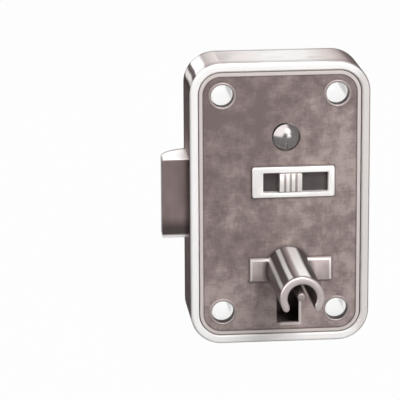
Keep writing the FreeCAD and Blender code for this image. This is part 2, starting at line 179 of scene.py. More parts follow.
def tone(red, green, blue):
    """A colour given as 0 to 255, made linear for the shader."""
    return tuple(((c / 255 + 0.055) / 1.055) ** 2.4 for c in (red, green, blue))


print("mid grey for the shader:", round(tone(128, 128, 128)[0], 3))

# %% [markdown]
# Most of the lock is metal with one plain finish: a cloudy colour, a gloss that the grain breaks up and a
# shallow bump. One function makes them all, so a new metal is one line.


# %% Plain metals
def metal(name, dark, light, metallic, gloss, grain=1500, depth=1e-6, specular=0.5):
    """A metal: its two tones, how metallic it is, its range of roughness, and its grain."""
    material, tree, shader = new_finish(name)
    shader.inputs["Metallic"].default_value = metallic
    shader.inputs["Specular IOR Level"].default_value = specular
    clouds = noise(tree, 60)
    fine = noise(tree, grain, detail=3.0)
    tree.links.new(ramp(tree, clouds, [(0.35, dark), (0.65, light)]), shader.inputs["Base Color"])
    tree.links.new(span(tree, fine, 0.3, 0.7, *gloss), shader.inputs["Roughness"])
    bump(tree, shader, fine, depth)
    return material


bright_finish = metal("bright_steel", tone(243, 239, 237), tone(250, 248, 246), 0.25, (0.28, 0.36))
post_finish = metal("turned_steel", tone(140, 138, 138), tone(170, 168, 168), 0.9, (0.25, 0.40))
spring_finish = metal("spring_steel", tone(88, 86, 92), tone(120, 118, 124), 0.95, (0.25, 0.40))
brass_finish = metal("stamped_brass", tone(186, 152, 82), tone(214, 182, 108), 0.95, (0.25, 0.42))
black_finish = metal("blackened_steel", tone(50, 43, 43), tone(78, 69, 68), 0.3, (0.45, 0.62))
print("plain metals:", len(bpy.data.materials))

# %% [markdown]
# The case is a pale casting with a satin skin. Its front rim is rubbed nearly white. Painted shade tones
# its walls: pale in the middle, greyer towards the corners, with a dark band near the right end, and it
# makes the rim greyer at the right. A lamp alone would shade them too, but differently from each side, so
# two ramps across the case's width paint the shade. A cloudy noise moves them a little and greys the walls.

# %% Tones of the case
case_low, case_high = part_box("case_shell")
case_finish, tree, shader = new_finish("satin_case")
shader.inputs["Specular IOR Level"].default_value = 0.0
place_of = split(tree)
case_cloud = noise(tree, 70, detail=3.0)
across = span(tree, place_of["X"], case_low.x, case_high.x)
across = calc(tree, "ADD", across, span(tree, case_cloud, 0.3, 0.7, -0.012, 0.012))
# painted shade across the walls and the rim: pale in the middle, greyer and darker towards the ends
wall_painted_shade_tones = [
    (0.0, tone(150, 132, 130)), (0.03, tone(168, 151, 148)), (0.12, tone(222, 214, 211)),
    (0.3, tone(238, 231, 229)), (0.48, tone(249, 247, 245)), (0.66, tone(244, 241, 239)),
    (0.80, tone(214, 204, 201)), (0.85, tone(178, 165, 162)), (0.89, tone(112, 99, 97)),
    (0.95, tone(84, 72, 70)), (0.99, tone(128, 114, 112)),
]
rim_painted_shade_tones = [(0.0, tone(250, 248, 246)), (0.9, tone(248, 246, 244)), (0.96, tone(220, 214, 211))]
wall_painted_light = ramp(tree, across, wall_painted_shade_tones)
wall_painted_light = mix(tree, span(tree, case_cloud, 0.5, 0.75, 0.0, 0.4), wall_painted_light, tone(158, 144, 142))
rim_painted_shade = ramp(tree, across, rim_painted_shade_tones)
print("case width in mm:", round((case_high.x - case_low.x) / MM, 1))

# %% [markdown]
# The upper left corner of the case carries painted highlights and painted shade in streaks that follow the
# angle round the corner. An Arctan2 node gives that angle from how far a point lies above and to the left
# of the corner's centre. Where a painted highlight is pale the wall is also more metallic, apart from the
# back, which lies on the door.

# %% Painted highlights round the upper left corner of the case
CASE_RADIUS = 12 * MM
SOFT_BORDER = 0.4 * MM
RIM_DEPTH = 0.9 * MM
BACK_DEPTH = 0.9 * MM
corner_up = calc(tree, "SUBTRACT", place_of["Z"], case_high.z - CASE_RADIUS)
corner_left = calc(tree, "SUBTRACT", case_low.x + CASE_RADIUS, place_of["X"])
corner_turn = calc(tree, "DIVIDE", calc(tree, "ARCTAN2", corner_up, corner_left), math.pi / 2)
corner_turn = calc(tree, "ADD", corner_turn, span(tree, case_cloud, 0.3, 0.7, -0.03, 0.03))
above_centre = span(tree, corner_up, 0, SOFT_BORDER)
left_of_centre = span(tree, corner_left, 0, SOFT_BORDER)
in_corner = calc(tree, "MULTIPLY", above_centre, left_of_centre)
# painted highlights and painted shade in streaks round the corner
corner_painted_highlights = [
    (0.0, tone(150, 132, 130)), (0.14, tone(114, 100, 97)), (0.20, tone(236, 228, 226)),
    (0.30, tone(236, 228, 226)), (0.36, tone(140, 126, 124)), (0.41, tone(150, 136, 134)),
    (0.46, tone(252, 250, 248)), (0.64, tone(252, 250, 248)), (0.72, tone(208, 198, 195)),
    (1.0, tone(222, 214, 211)),
]
corner_painted_highlight = ramp(tree, corner_turn, corner_painted_highlights)
wall_painted_light = mix(tree, in_corner, wall_painted_light, corner_painted_highlight)
on_wall = span(tree, place_of["Y"], case_low.y + RIM_DEPTH, case_low.y + RIM_DEPTH + 0.3 * MM)
off_back = span(tree, place_of["Y"], case_high.y - BACK_DEPTH, case_high.y - BACK_DEPTH - 0.5 * MM)
shine = span(tree, corner_painted_highlight, 0.55, 0.85)
for limit in (in_corner, on_wall, off_back):
    shine = calc(tree, "MULTIPLY", shine, limit)
tree.links.new(span(tree, shine, 0.0, 1.0, 0.1, 0.9), shader.inputs["Metallic"])
print("tones round the corner:", len(corner_painted_highlights))

# %% [markdown]
# Painted shade darkens the case in a line behind the rim and on the ledge inside it, and a darker band runs
# along the back edge. The rim's outer edge carries painted shade at the right and a little at the bottom.
# Each of these is a tone that is mixed in by a distance: from the front, from the door, or from the rounded
# edge of the front, which a few Math nodes work out. Painting them by hand would need an image. A casting
# is never mirror smooth, so its bump is a fine pebble.

# %% Painted shade on the case
RIM_WIDTH = 3.2 * MM
DOOR_LINE = 4.4 * MM
RIM_EDGE_SHADE_WIDTH = 0.6 * MM
SHADE_LINE_START = 3.0 * MM
SHADE_LINE_END = 7.0 * MM


def edge_distance(tree, half_width, half_height, radius):
    """How far a point lies inside a rounded rectangle round the origin; 0 is on its edge."""
    place_of = split(tree)
    parts = []
    for axis, half in (("X", half_width), ("Z", half_height)):
        beyond = calc(tree, "SUBTRACT", calc(tree, "ABSOLUTE", place_of[axis]), half - radius)
        beyond = calc(tree, "MAXIMUM", beyond, 0.0)
        parts.append(calc(tree, "MULTIPLY", beyond, beyond))
    length = calc(tree, "SQRT", calc(tree, "ADD", *parts))
    return calc(tree, "SUBTRACT", radius, length)


from_edge = edge_distance(tree, case_high.x, case_high.z, CASE_RADIUS)
# painted shade on the rim's outer edge, at the right and a little at the bottom
rim_edge_painted_shade = span(tree, from_edge, RIM_EDGE_SHADE_WIDTH, RIM_EDGE_SHADE_WIDTH / 2, 0.0, 0.85)
at_right = span(tree, place_of["X"], 10 * MM, 30 * MM)
at_bottom = span(tree, place_of["Z"], -20 * MM, -45 * MM, 0.0, 0.2)
rim_edge_painted_shade = calc(tree, "MULTIPLY", rim_edge_painted_shade, calc(tree, "MAXIMUM", at_right, at_bottom))
rim_painted_shade = mix(tree, rim_edge_painted_shade, rim_painted_shade, tone(108, 96, 94))
case_tone = mix(tree, on_wall, rim_painted_shade, wall_painted_light)
# a painted shade line on the walls behind the rim
shade_line_behind_rim = span(tree, place_of["Y"], case_low.y + SHADE_LINE_END, case_low.y + SHADE_LINE_START, 0.0, 0.35)
shade_line_behind_rim = calc(tree, "MULTIPLY", shade_line_behind_rim, on_wall)
case_tone = mix(tree, shade_line_behind_rim, case_tone, tone(120, 106, 104))
# a darker band along the back edge of the case
by_door = span(tree, place_of["Y"], case_high.y - DOOR_LINE, case_high.y - DOOR_LINE / 2, 0.0, 0.65)
case_tone = mix(tree, by_door, case_tone, tone(112, 99, 97))
on_back = span(tree, place_of["Y"], case_high.y - 0.3 * MM, case_high.y - 0.1 * MM)
back_tone = ramp(tree, case_cloud, [(0.35, tone(158, 147, 144)), (0.65, tone(184, 174, 171))])
case_tone = mix(tree, on_back, case_tone, back_tone)
# painted shade on the ledge inside the rim
ledge_painted_shade = span(tree, from_edge, RIM_WIDTH - 0.1 * MM, RIM_WIDTH + 0.2 * MM, 0.0, 0.85)
case_tone = mix(tree, ledge_painted_shade, case_tone, tone(150, 136, 133))
case_pebble = noise(tree, 1100, detail=4.0)
tree.links.new(case_tone, shader.inputs["Base Color"])
tree.links.new(span(tree, case_pebble, 0.3, 0.7, 0.30, 0.42), shader.inputs["Roughness"])
bump(tree, shader, case_pebble, 3e-6)
print("case finish nodes:", len(tree.nodes))

# %% [markdown]
# The cover is grey steel plate, cloudy from handling, with a fine hatch of brush marks. Painted light makes
# it a little lighter towards the right and towards the bottom. A coarse and a finer noise make the clouds,
# and two noises stretched across each other make the hatch. One ramp turns their sum into the plate's
# greys.

# %% Clouds and hatch of the cover
cover_low, cover_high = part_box("cover_plate")
cover_finish, tree, shader = new_finish("grey_cover")
shader.inputs["Metallic"].default_value = 0.3
place_of = split(tree)
slow = noise(tree, 34, detail=2.0)
middle = noise(tree, 190, detail=5.0)
hatch = noise(tree, 1100, (1, 1, 0.35), detail=3.0)
cross_hatch = noise(tree, 1100, (0.35, 1, 1), detail=3.0)
clouds = calc(tree, "ADD", calc(tree, "MULTIPLY", slow, 0.5), calc(tree, "MULTIPLY", middle, 0.5))
for marks in (hatch, cross_hatch):
    clouds = calc(tree, "ADD", clouds, span(tree, marks, 0.3, 0.7, -0.04, 0.04))
# painted light: lighter towards the right, and below lighter towards the bottom
painted_light_to_right = span(tree, place_of["X"], -24 * MM, 30 * MM, -0.06, 0.09)
painted_light_to_right = calc(tree, "MULTIPLY", painted_light_to_right, span(tree, place_of["Z"], -36 * MM, -14 * MM, 0.1, 1.0))
clouds = calc(tree, "ADD", clouds, painted_light_to_right)
clouds = calc(tree, "ADD", clouds, span(tree, place_of["Z"], -40 * MM, 45 * MM, 0.06, -0.07))
cover_tones = [(0.36, tone(106, 92, 90)), (0.5, tone(130, 115, 112)), (0.64, tone(160, 145, 141))]
field = ramp(tree, clouds, cover_tones)
tree.links.new(span(tree, hatch, 0.3, 0.7, 0.42, 0.56), shader.inputs["Roughness"])
bump(tree, shader, hatch, 3e-6)
print("cover width in mm:", round((cover_high.x - cover_low.x) / MM, 1))

# %% [markdown]
# Painted shade darkens the cover round the pieces that stand on it: the window frame, the tube and the
# tube's wings. A dark ring of geometry could show it, but the cover would then carry a sheet that the real
# one doesn't have. So the tone follows the distance to each piece's outline, which is read from the frame.

# %% Painted contact shade on the cover
CONTACT_SHADE_WIDTH = 0.9 * MM
TUBE_CONTACT_SHADE_WIDTH = 1.5 * MM
WING_HALF_HEIGHT = 4.6 * MM
WING_Z = -26.0 * MM
pin_low, pin_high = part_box("drill_pin")
tube_low, tube_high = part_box("key_tube")
frame_low, frame_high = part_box("window_frame")
TUBE_X = (pin_low.x + pin_high.x) / 2
TUBE_Z = (pin_low.z + pin_high.z) / 2
TUBE_RADIUS = tube_high.z - TUBE_Z


def outside_tube(tree):
    """How far a point lies outside the tube; below 0 inside it."""
    place_of = split(tree)
    parts = []
    for axis, centre in (("X", TUBE_X), ("Z", TUBE_Z)):
        away = calc(tree, "SUBTRACT", place_of[axis], centre)
        parts.append(calc(tree, "MULTIPLY", away, away))
    return calc(tree, "SUBTRACT", calc(tree, "SQRT", calc(tree, "ADD", *parts)), TUBE_RADIUS)


def box_distance(tree, low_x, high_x, low_z, high_z):
    """How far a point lies outside a rectangle; below 0 inside it."""
    place_of = split(tree)
    parts = []
    for axis, low, high in (("X", low_x, high_x), ("Z", low_z, high_z)):
        away = calc(tree, "ABSOLUTE", calc(tree, "SUBTRACT", place_of[axis], (low + high) / 2))
        parts.append(calc(tree, "SUBTRACT", away, (high - low) / 2))
    return calc(tree, "MAXIMUM", *parts)


def paint_contact_shade(tree, base, distance, width, share):
    """Painted shade where a piece stands on another: darkest at distance 0, gone at the width."""
    return mix(tree, span(tree, distance, width, 0.0, 0.0, share), base, tone(70, 59, 58))


from_frame = box_distance(tree, frame_low.x, frame_high.x, frame_low.z, frame_high.z)
from_wings = box_distance(tree, tube_low.x, tube_high.x,
                          WING_Z - WING_HALF_HEIGHT, WING_Z + WING_HALF_HEIGHT)
# painted contact shade round the frame, the wings and the tube
field = paint_contact_shade(tree, field, from_frame, CONTACT_SHADE_WIDTH, 0.7)
field = paint_contact_shade(tree, field, from_wings, CONTACT_SHADE_WIDTH, 0.6)
field = paint_contact_shade(tree, field, outside_tube(tree), TUBE_CONTACT_SHADE_WIDTH, 0.85)
print("axis of the tube in mm:", round(TUBE_X / MM, 2), round(TUBE_Z / MM, 2))

# %% [markdown]
# The cover's raised bead carries a painted highlight, and painted shade lies at the bead's foot. Both
# follow the distance to the plate's rounded edge. The lower right edges of the keyhole carry a painted
# highlight in the same way.

# %% Painted highlights and shade on the bead and the keyhole of the cover
COVER_RADIUS = 8.45 * MM
BEAD_WIDTH = 1.4 * MM
FOOT_SHADE_WIDTH = 0.7 * MM
KEYHOLE_HIGHLIGHT_WIDTH = 1.1 * MM
KEYHOLE_LEFT = -1.2 * MM
KEYHOLE_RIGHT = 7.4 * MM
KEYHOLE_BOTTOM = -47.5 * MM
KEYHOLE_TOP = -25.5 * MM
inside = edge_distance(tree, cover_high.x, cover_high.z, COVER_RADIUS)
# a painted highlight on the bead and painted shade at its foot
bead_painted_highlight = span(tree, inside, BEAD_WIDTH, BEAD_WIDTH - 0.1 * MM)
bead_foot_painted_shade = span(tree, inside, BEAD_WIDTH + FOOT_SHADE_WIDTH, BEAD_WIDTH, 0.0, 0.75)
field = mix(tree, bead_foot_painted_shade, field, tone(84, 72, 70))
field = mix(tree, bead_painted_highlight, field, tone(200, 190, 187))
from_keyhole = box_distance(tree, KEYHOLE_LEFT, KEYHOLE_RIGHT, KEYHOLE_BOTTOM, KEYHOLE_TOP)
# a painted highlight on the keyhole's right and lower edges
keyhole_painted_highlight = span(tree, from_keyhole, KEYHOLE_HIGHLIGHT_WIDTH, 0.8 * KEYHOLE_HIGHLIGHT_WIDTH, 0.0, 0.8)
keyhole_highlight_right = span(tree, place_of["X"], KEYHOLE_LEFT + 1 * MM, KEYHOLE_LEFT + 2 * MM)
keyhole_highlight_low = span(tree, place_of["Z"], -34 * MM, -35 * MM)
for limit in (keyhole_highlight_right, keyhole_highlight_low):
    keyhole_painted_highlight = calc(tree, "MULTIPLY", keyhole_painted_highlight, limit)
field = mix(tree, keyhole_painted_highlight, field, tone(206, 196, 193))
tree.links.new(field, shader.inputs["Base Color"])
print("cover finish nodes:", len(tree.nodes))

# %% [markdown]
# The latch bolt is dark drawn steel, with a grain that runs up and down. Its top face and a strip along its
# lower edge carry a painted highlight, and painted shade darkens its lowest part. Both follow the height on
# the bolt.

# %% Bolt finish
bolt_low, bolt_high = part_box("latch_head")
bolt_finish, tree, shader = new_finish("drawn_bolt")
place_of = split(tree)
height = place_of["Z"]
bolt_cloud = noise(tree, 90, (1, 1, 0.5))
bolt_grain = noise(tree, 1600, (1, 1, 0.08), detail=5.0)
bolt_body = ramp(tree, bolt_cloud, [(0.35, tone(106, 92, 90)), (0.65, tone(128, 112, 110))])
# painted shade: the lower part of the bolt is darker
bolt_low_painted_shade = span(tree, height, bolt_low.z + 8 * MM, bolt_low.z + 4 * MM, 0.0, 0.9)
bolt_body = mix(tree, bolt_low_painted_shade, bolt_body, tone(54, 44, 44))
# painted highlights: the top face and a strip along the bottom edge are near white
for end_z, inner_z in ((bolt_high.z, bolt_high.z - 0.1 * MM), (bolt_low.z, bolt_low.z + 1.5 * MM)):
    bolt_end_painted_highlight = span(tree, height, inner_z, end_z - 0.3 * (end_z - inner_z))
    bolt_body = mix(tree, bolt_end_painted_highlight, bolt_body, tone(248, 245, 243))
on_top = span(tree, height, bolt_high.z - 0.1 * MM, bolt_high.z - 0.05 * MM)
tree.links.new(span(tree, on_top, 0.0, 1.0, 0.4, 0.75), shader.inputs["Metallic"])
tree.links.new(span(tree, bolt_grain, 0.3, 0.7, 0.34, 0.5), shader.inputs["Roughness"])
bump(tree, shader, bolt_grain, 5e-6)
print("bolt height in mm:", round((bolt_high.z - bolt_low.z) / MM, 1))

# %% [markdown]
# Painted shade lines the top of the bolt along its rounded back and its tip. The back is an arc, and its
# radius follows from how far the bolt reaches out of the case and how deep it is. So the Math nodes work
# out where the arc lies beside each point, and the painted shade takes what is close in front of it.

# %% Painted shade on top of the bolt
BOLT_LAND = 6.0 * MM
BOLT_GAP = 0.25 * MM
TOP_SHADE_WIDE = 2.6 * MM
TOP_SHADE_FULL = 1.2 * MM
BOLT_REACH = case_low.x + BOLT_GAP - bolt_low.x
back_depth = bolt_high.y - bolt_low.y - BOLT_LAND
BACK_RADIUS = (BOLT_REACH ** 2 + back_depth ** 2) / (2 * BOLT_REACH)
away_x = calc(tree, "SUBTRACT", place_of["X"], bolt_low.x + BACK_RADIUS)
left_over = calc(tree, "SUBTRACT", BACK_RADIUS ** 2, calc(tree, "MULTIPLY", away_x, away_x))
back_y = calc(tree, "SQRT", calc(tree, "MAXIMUM", left_over, 0.0))
back_y = calc(tree, "ADD", back_y, bolt_low.y + BOLT_LAND)
from_back = calc(tree, "SUBTRACT", back_y, place_of["Y"])
along_back = span(tree, from_back, TOP_SHADE_WIDE, TOP_SHADE_FULL)
along_tip = span(tree, place_of["X"], bolt_low.x + 0.7 * MM, bolt_low.x + 0.4 * MM)
bolt_top_painted_shade = calc(tree, "MAXIMUM", along_back, along_tip)
# painted shade along the rounded back and the tip of the top face
bolt_top_painted_shade = calc(tree, "MULTIPLY", calc(tree, "MULTIPLY", bolt_top_painted_shade, on_top), 0.8)
bolt_body = mix(tree, bolt_top_painted_shade, bolt_body, tone(112, 100, 98))
tree.links.new(bolt_body, shader.inputs["Base Color"])
print("radius of the bolt's back in mm:", round(BACK_RADIUS / MM, 1))

# %% [markdown]
# The slotted tube is drawn along its length. Its colour carries painted highlights and painted shade in
# bands that run from end to end, so it follows the angle round the tube's axis. The angle comes from the
# Object coordinates, moved so that the axis is the origin, and a little noise along the tube keeps the
# bands from being ruled lines. The list gives the tone at each angle in degrees: 0 is at the right, 90 at
# the top, and the lower half is negative.

# %% Tube finish
PAINTED_DEEP_SHADE = tone(26, 20, 20)
PAINTED_SHADE_BAND = tone(70, 60, 60)
PAINTED_HALF_SHADE = tone(120, 108, 106)
PAINTED_SOFT_HIGHLIGHT = tone(176, 164, 161)
PAINTED_HIGHLIGHT = tone(252, 250, 248)
# painted highlights and painted shade, by angle round the tube
painted_light_round_tube = [
    (-150, tone(88, 77, 75)), (-120, PAINTED_HALF_SHADE), (-100, PAINTED_SHADE_BAND), (-62, PAINTED_SHADE_BAND),
    (-52, PAINTED_SOFT_HIGHLIGHT), (-40, PAINTED_SOFT_HIGHLIGHT), (-30, PAINTED_SHADE_BAND), (-22, PAINTED_SHADE_BAND),
    (-14, PAINTED_HIGHLIGHT), (2, PAINTED_HIGHLIGHT), (10, PAINTED_SHADE_BAND), (22, PAINTED_DEEP_SHADE), (63, PAINTED_DEEP_SHADE),
    (72, PAINTED_HIGHLIGHT), (92, PAINTED_HIGHLIGHT), (98, PAINTED_SOFT_HIGHLIGHT), (107, PAINTED_HALF_SHADE), (111, PAINTED_SHADE_BAND),
    (115, PAINTED_HIGHLIGHT), (123, PAINTED_HIGHLIGHT), (127, PAINTED_SHADE_BAND), (144, PAINTED_SHADE_BAND),
    (148, PAINTED_HIGHLIGHT), (156, PAINTED_HIGHLIGHT), (161, PAINTED_SHADE_BAND),
]
tube_finish, tree, shader = new_finish("tube_painted_light_bands")
shader.inputs["Metallic"].default_value = 0.15
shader.inputs["Specular IOR Level"].default_value = 0.2
centred = tree.nodes.new("ShaderNodeMapping")
centred.inputs["Location"].default_value = (-TUBE_X, 0, -TUBE_Z)
tree.links.new(places(tree), centred.inputs["Vector"])
separate = tree.nodes.new("ShaderNodeSeparateXYZ")
tree.links.new(centred.outputs["Vector"], separate.inputs["Vector"])
turn_angle = calc(tree, "ARCTAN2", separate.outputs["Z"], separate.outputs["X"])
wander = noise(tree, 120, (1, 0.25, 1))
turn_angle = calc(tree, "ADD", turn_angle, span(tree, wander, 0.3, 0.7, -0.02, 0.02))
round_share = span(tree, turn_angle, -math.pi, math.pi)
tube_painted_light = ramp(tree, round_share, [((angle + 180) / 360, colour) for angle, colour in painted_light_round_tube])
# painted shade on the last few millimetres before the open end
painted_shade_near_tip = span(tree, separate.outputs["Y"], tube_low.y + 3.0 * MM, tube_low.y + 1.4 * MM, 0.0, 0.8)
tube_painted_light = mix(tree, painted_shade_near_tip, tube_painted_light, tone(112, 100, 98))
fine = noise(tree, 700, (1, 0.03, 1), detail=2.0)
tree.links.new(tube_painted_light, shader.inputs["Base Color"])
tree.links.new(span(tree, fine, 0.3, 0.7, 0.28, 0.34), shader.inputs["Roughness"])
bump(tree, shader, fine, 0.5e-6)
print("tones round the tube:", len(painted_light_round_tube))

# %% [markdown]
# The case, the cover, the bolt and all that works inside keep the construction's own mesh and only need a
# finish. The record names a material slot for every node, so one dictionary from slot to finish dresses
# them in a loop, and no node is forgotten.

# %% Finishes go onto the nodes by their slot in the record
finish_of_slot = {
    "cast_case": case_finish,
    "cover_steel": cover_finish,
    "bright_steel": bright_finish,
    "tube_steel": tube_finish,
    "latch_steel": bolt_finish,
    "post_steel": post_finish,
    "spring_steel": spring_finish,
    "lever_brass": brass_finish,
    "black_steel": black_finish,
}
for part in frame["record"]["subparts"]:
    node = frame["nodes"][part["node"]]
    node.data.materials.clear()
    node.data.materials.append(finish_of_slot[part["material_slot"]])

# %% [markdown]
# The next pieces are modelled again, because the construction leaves their edges sharp. They keep its
# sizes, which are read from the frame. Most are turned pieces: a ring of edges is added at the first radius
# and extruded from step to step of the profile, as a lathe tool would go. A spin of a drawn profile would
# do the same, but the ring keeps its points exactly on the circle at every step.

# %% Turned pieces
TURNED_SIDES = 96
CLOSED_RADIUS = 1e-5
MERGE_DISTANCE = 3e-5


def edit(piece):
    """Edit mode on one piece, with nothing selected."""
    bpy.ops.object.select_all(action="DESELECT")
    piece.select_set(True)
    bpy.context.view_layer.objects.active = piece
    bpy.ops.object.mode_set(mode="EDIT")
    bpy.ops.mesh.select_all(action="DESELECT")


def settle():
    """Back to object mode, with the place and scale of the active piece put into its mesh."""
    bpy.ops.object.mode_set(mode="OBJECT")
    bpy.ops.object.transform_apply(location=True, rotation=True, scale=True)
    return bpy.context.object


def turned(name, x, z, steps, sides=TURNED_SIDES):
    """A piece turned round an axis along Y; steps are (radius, y), and a radius of 0 closes it."""
    radius, y = steps[0]
    start_radius = max(radius, CLOSED_RADIUS)
    bpy.ops.mesh.primitive_circle_add(vertices=sides, radius=start_radius, location=(x, y, z),
                                      rotation=(math.pi / 2, 0, 0))
    piece = settle()
    piece.name = name
    edit(piece)
    bpy.ops.mesh.select_all(action="SELECT")
    for next_radius, next_y in steps[1:]:
        bpy.ops.mesh.extrude_edges_move(TRANSFORM_OT_translate={"value": (0, next_y - y, 0)})
        scale = max(next_radius, CLOSED_RADIUS) / start_radius
        bpy.ops.transform.resize(value=(scale, 1, scale), center_override=(x, next_y, z))
        start_radius = max(next_radius, CLOSED_RADIUS)
        y = next_y
    bpy.ops.mesh.select_all(action="SELECT")
    bpy.ops.mesh.remove_doubles(threshold=MERGE_DISTANCE)
    bpy.ops.mesh.normals_make_consistent(inside=False)
    return settle()


print("sides of a turned piece:", TURNED_SIDES)

# %% [markdown]
# A modelled piece is done in three moves. It gets its finishes, one for each kind of face, it is shaded
# smooth except over its sharp edges, and it is put in the place of the node that it stands for, on the same
# body.


# %% Finishing a piece
def smooth(piece, angle=32):
    """Smooth shading that keeps edges sharper than the angle."""
    bpy.ops.object.select_all(action="DESELECT")
    piece.select_set(True)
    bpy.context.view_layer.objects.active = piece
    bpy.ops.object.shade_smooth_by_angle(angle=math.radians(angle))


def finish_faces(piece, finishes, choose=lambda centre, normal: 0):
    """Gives each face the finish whose number choose(centre, normal) returns, or else the first."""
    piece.data.materials.clear()
    for finish in finishes:
        piece.data.materials.append(finish)
    for face in piece.data.polygons:
        face.material_index = choose(face.center, face.normal)


def place(piece, body, slot_name, *nodes):
    """Says what a finished piece rides on and the nodes that it stands for; the finish slot is not used."""
    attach(piece, body)
    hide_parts(*nodes)
    print(piece.name, "triangles:", sum(len(f.vertices) - 2 for f in piece.data.polygons))


# %% [markdown]
# A flared eyelet lines each fixing hole. The sleeve is pressed through the case and its mouth is rolled
# over the cover, so its profile is a loop: up the outside, round the rolled lip, and down the bore. Painted
# shade darkens the throat near the mouth, and the rest of the bore is painted near white, a painted light
# that stands for the white ground seen through the hole. One eyelet is turned and copied to the other
# holes.

# %% Eyelets
eyelet_low, eyelet_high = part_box("corner_eyelets")
pattern = next(m for m in frame["record"]["mounts"] if m["name"] == "fixing_holes")["dims"]
BORE_RADIUS = pattern["hole_r_mm"] * MM
SLEEVE_RADIUS = BORE_RADIUS + 0.7 * MM
LIP_RADIUS = eyelet_high.x - pattern["spacing_x_mm"] / 2 * MM
LIP_FRONT = eyelet_low.y
LIP_STEPS = 8
FIELD_Y = cover_low.y + 0.35 * MM
LIP_CURL = (LIP_RADIUS - BORE_RADIUS) / 2
THROAT_DEPTH = 4.0 * MM
lip_finish = metal("grey_lip", tone(140, 128, 125), tone(162, 150, 147), 0.3, (0.32, 0.42), grain=1700)
# painted shade in the throat, and a near-white bore as painted light
throat_painted_shade = metal("eyelet_throat_painted_shade", tone(60, 51, 51), tone(80, 70, 69), 0.3, (0.4, 0.55))
bore_painted_white = metal("eyelet_bore_painted_white", tone(251, 250, 249), tone(254, 253, 253), 0.95, (0.18, 0.24),
                      depth=0.1e-6)
eyelet_steps = [(SLEEVE_RADIUS, eyelet_high.y), (SLEEVE_RADIUS, FIELD_Y), (LIP_RADIUS, FIELD_Y)]
lip_depth = FIELD_Y - LIP_FRONT
for i in range(1, LIP_STEPS + 1):
    angle = math.pi * i / LIP_STEPS
    curl_radius = BORE_RADIUS + LIP_CURL * (1 + math.cos(angle))
    eyelet_steps.append((curl_radius, FIELD_Y - lip_depth * math.sin(angle)))
eyelet_steps += [(BORE_RADIUS, FIELD_Y + THROAT_DEPTH), (BORE_RADIUS, eyelet_high.y),
                 (SLEEVE_RADIUS, eyelet_high.y)]
first_eyelet = turned("eyelet_upper_left", -pattern["spacing_x_mm"] / 2 * MM,
                      pattern["spacing_y_mm"] / 2 * MM, eyelet_steps, sides=72)


def eyelet_face(centre, normal):
    """0 is the lip, 1 the throat with painted shade and 2 the bore painted near white."""
    if centre.y > FIELD_Y + THROAT_DEPTH:
        return 2
    if centre.y > FIELD_Y + 0.1 * MM:
        return 1
    return 0


finish_faces(first_eyelet, [lip_finish, throat_painted_shade, bore_painted_white], eyelet_face)
smooth(first_eyelet, 50)
eyelets = [first_eyelet]
for name, right, down in (("upper_right", 1, 0), ("lower_left", 0, 1), ("lower_right", 1, 1)):
    copy = first_eyelet.copy()
    copy.data = first_eyelet.data.copy()
    copy.name = "eyelet_" + name
    bpy.context.scene.collection.objects.link(copy)
    shift = Vector((right * pattern["spacing_x_mm"] * MM, 0, -down * pattern["spacing_y_mm"] * MM))
    copy.data.transform(Matrix.Translation(shift))
    eyelets.append(copy)
for eyelet in eyelets:
    place(eyelet, "case", "bright_steel", "corner_eyelets")

# %% [markdown]
# The push button is a turned dome on a short side wall, with a flange and a pin behind the cover. The dome
# is part of a ball: its radius follows from the button's radius and the dome's height. A squashed sphere
# would stand too steep at its rim.

# %% Push button
button_low, button_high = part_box("push_button")
BUTTON_X = (button_low.x + button_high.x) / 2
BUTTON_Z = (button_low.z + button_high.z) / 2
BUTTON_RADIUS = 5.0 * MM
DOME_HEIGHT = 2.3 * MM
FLANGE_RADIUS = (button_high.x - button_low.x) / 2
FLANGE_FRONT = cover_high.y + 0.05 * MM
FLANGE_BACK = FLANGE_FRONT + 0.8 * MM
PIN_RADIUS = 1.8 * MM
dome_finish = metal("dark_dome", tone(122, 117, 116), tone(136, 131, 130), 0.9, (0.2, 0.24), grain=1700)


def arc_steps(centre_radius, centre_y, radius, start, stop, count):
    """Points of a profile along an arc, in degrees from straight out to the front."""
    found = []
    for i in range(count + 1):
        angle = math.radians(start + (stop - start) * i / count)
        found.append((centre_radius + radius * math.cos(angle), centre_y - radius * math.sin(angle)))
    return found


ball_radius = (BUTTON_RADIUS ** 2 + DOME_HEIGHT ** 2) / (2 * DOME_HEIGHT)
ball_y = button_low.y + ball_radius
widest = math.degrees(math.asin(BUTTON_RADIUS / ball_radius))
button_steps = arc_steps(0, ball_y, ball_radius, 90, 90 - widest, 14)
button_steps += [(BUTTON_RADIUS, FLANGE_FRONT), (FLANGE_RADIUS, FLANGE_FRONT), (FLANGE_RADIUS, FLANGE_BACK),
                 (PIN_RADIUS, FLANGE_BACK), (PIN_RADIUS, button_high.y), (0, button_high.y)]
button = turned("push_button_dome", BUTTON_X, BUTTON_Z, button_steps)
finish_faces(button, [dome_finish])
smooth(button)
place(button, "button", "bright_steel", "push_button")

# %% [markdown]
# The drill pin stands in the middle of the slotted tube. It is turned from one bar. Its tip is rounded off,
# so its profile starts with a small arc. Further back it steps out to a wide foot, and a thinner end goes
# into the back of the case.

